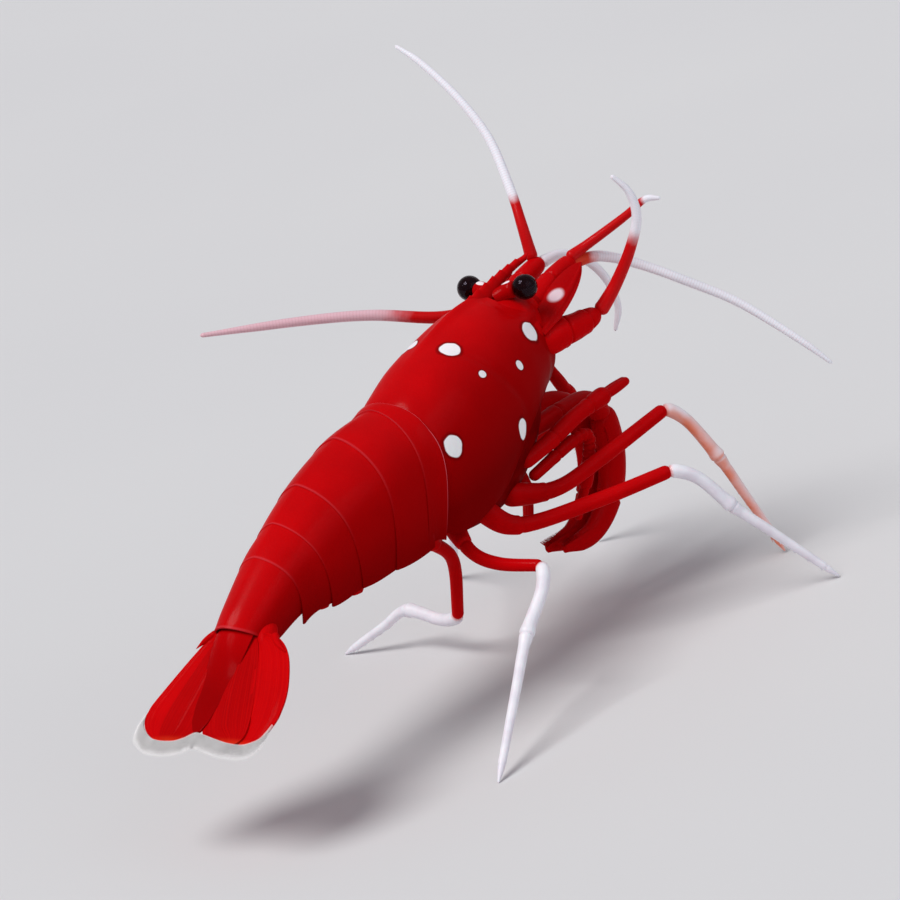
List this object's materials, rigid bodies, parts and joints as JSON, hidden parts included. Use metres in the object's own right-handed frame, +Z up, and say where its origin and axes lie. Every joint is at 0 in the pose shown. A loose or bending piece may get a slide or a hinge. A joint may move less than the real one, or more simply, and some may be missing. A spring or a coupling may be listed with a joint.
{
  "type": "cleaner shrimp model",
  "caption": "Life-size museum model of a red cleaner shrimp with white spots, legs and feelers, standing on its legs with its body pitched nose up.",
  "frame": {"origin": "on the floor, under the middle of the model's bounding box", "axes": "+X towards the head, +Y to the animal's left, +Z up"},
  "size_m": [0.0496, 0.034, 0.0349],
  "materials": {
    "shell": "glossy deep red shell with white spots",
    "shell_dark": "satin dark red underside",
    "white_shell": "satin white shell of the lower legs and feelers",
    "eye": "polished black"
  },
  "bodies": {
    "root": {"carapace": "shell", "thorax_underside": "shell_dark", "abdomen_1": "shell", "abdomen_2": "shell", "abdomen_3": "shell", "abdomen_4": "shell", "abdomen_5": "shell", "abdomen_6": "shell", "telson": "shell", "uropod_right_inner": "shell", "uropod_right_outer": "shell", "uropod_left_inner": "shell", "uropod_left_outer": "shell", "eye_right": "eye", "eyestalk_right": "shell", "eye_left": "eye", "eyestalk_left": "shell", "antennule_right_base": "shell", "antennule_right_outer": "white_shell", "antennule_right_inner": "white_shell", "antennule_left_base": "shell", "antennule_left_outer": "white_shell", "antennule_left_inner": "white_shell", "antenna_right_base": "shell", "antenna_right": "white_shell", "antenna_scale_right": "shell", "antenna_left_base": "shell", "antenna_left": "white_shell", "antenna_scale_left": "shell", "mouth_leg_right_upper": "shell", "mouth_leg_right_lower": "shell", "mouth_leg_left_upper": "shell", "mouth_leg_left_lower": "shell", "claw_leg_1_right": "shell", "claw_leg_2_right": "shell", "claw_leg_1_left": "shell", "claw_leg_2_left": "shell", "leg_3_right_upper": "shell", "leg_3_right_lower": "white_shell", "leg_3_left_upper": "shell", "leg_3_left_lower": "white_shell", "leg_4_right_upper": "shell", "leg_4_right_lower": "white_shell", "leg_4_left_upper": "shell", "leg_4_left_lower": "white_shell", "leg_5_right_upper": "shell", "leg_5_right_lower": "white_shell", "leg_5_left_upper": "shell", "leg_5_left_lower": "white_shell", "swimmeret_1_right": "shell", "swimmeret_1_left": "shell", "swimmeret_2_right": "shell", "swimmeret_2_left": "shell", "swimmeret_3_right": "shell", "swimmeret_3_left": "shell", "swimmeret_4_right": "shell", "swimmeret_4_left": "shell", "swimmeret_5_right": "shell", "swimmeret_5_left": "shell"}
  },
  "joints": []
}
